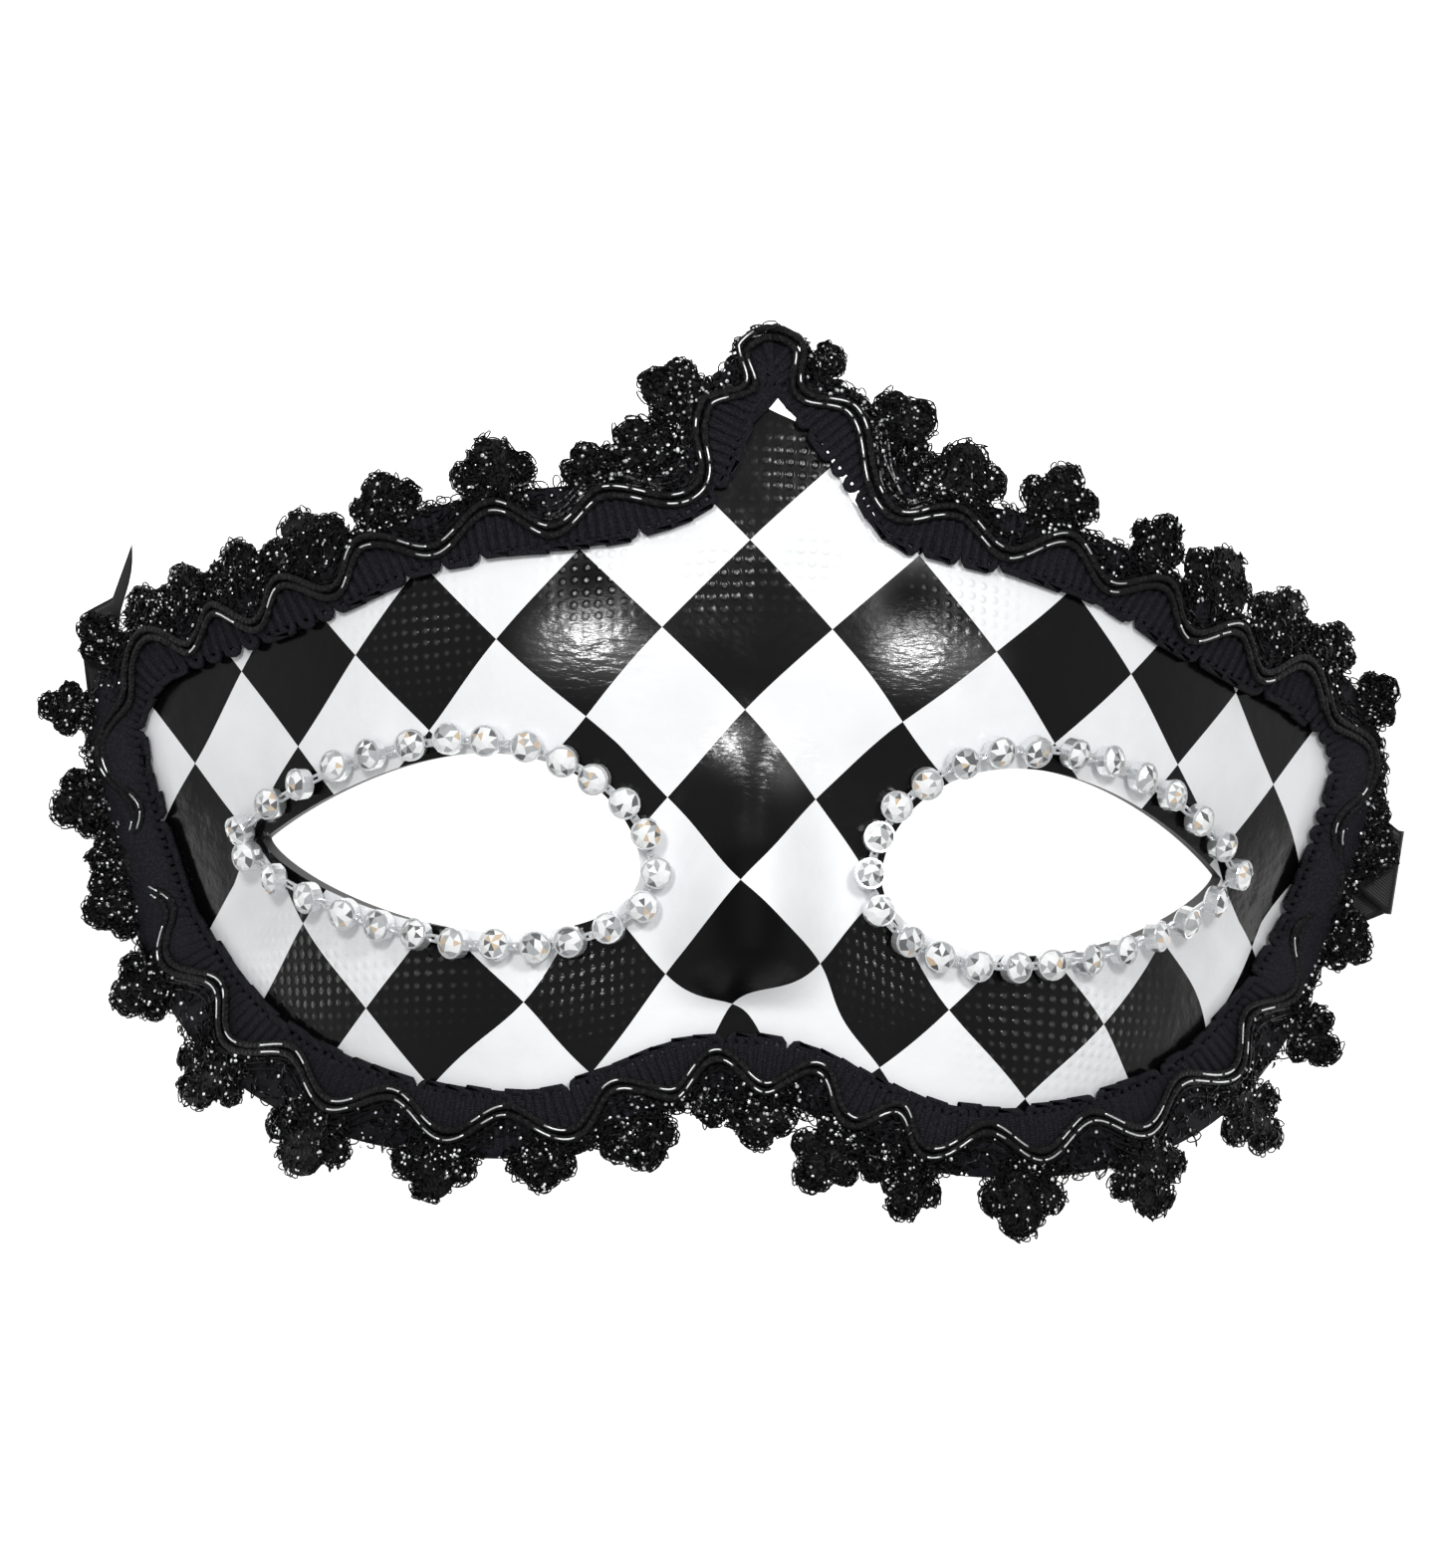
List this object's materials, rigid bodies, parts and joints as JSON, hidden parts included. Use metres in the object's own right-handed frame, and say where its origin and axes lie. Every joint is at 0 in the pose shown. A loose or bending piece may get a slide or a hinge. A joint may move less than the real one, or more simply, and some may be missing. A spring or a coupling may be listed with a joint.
{
  "type": "masquerade eye mask",
  "caption": "Moulded half-face eye mask with a peaked brow, almond eye holes, a harlequin facing, lace braid with fans round its edge, cut stones round the eyes and satin ties.",
  "frame": {"origin": "middle of the foot of the mask's box, on the surface that it lies on face up", "axes": "+X across the face to the viewer's right, +Y up the forehead to the peak, +Z out of the face"},
  "size_m": [0.1886, 0.1202, 0.0659],
  "materials": {
    "facing": "embossed vinyl printed with black and white diamonds",
    "lace": "black gimp braid and looped metallised thread",
    "stones": "cut clear acrylic with a silvered back",
    "ties": "black satin ribbon"
  },
  "bodies": {
    "root": {"shell": "facing", "trim_top_right": "lace", "trim_lower": "lace", "trim_top_left": "lace", "stones_left": "stones", "stones_right": "stones", "tie_left": "ties", "tie_right": "ties"}
  },
  "joints": []
}
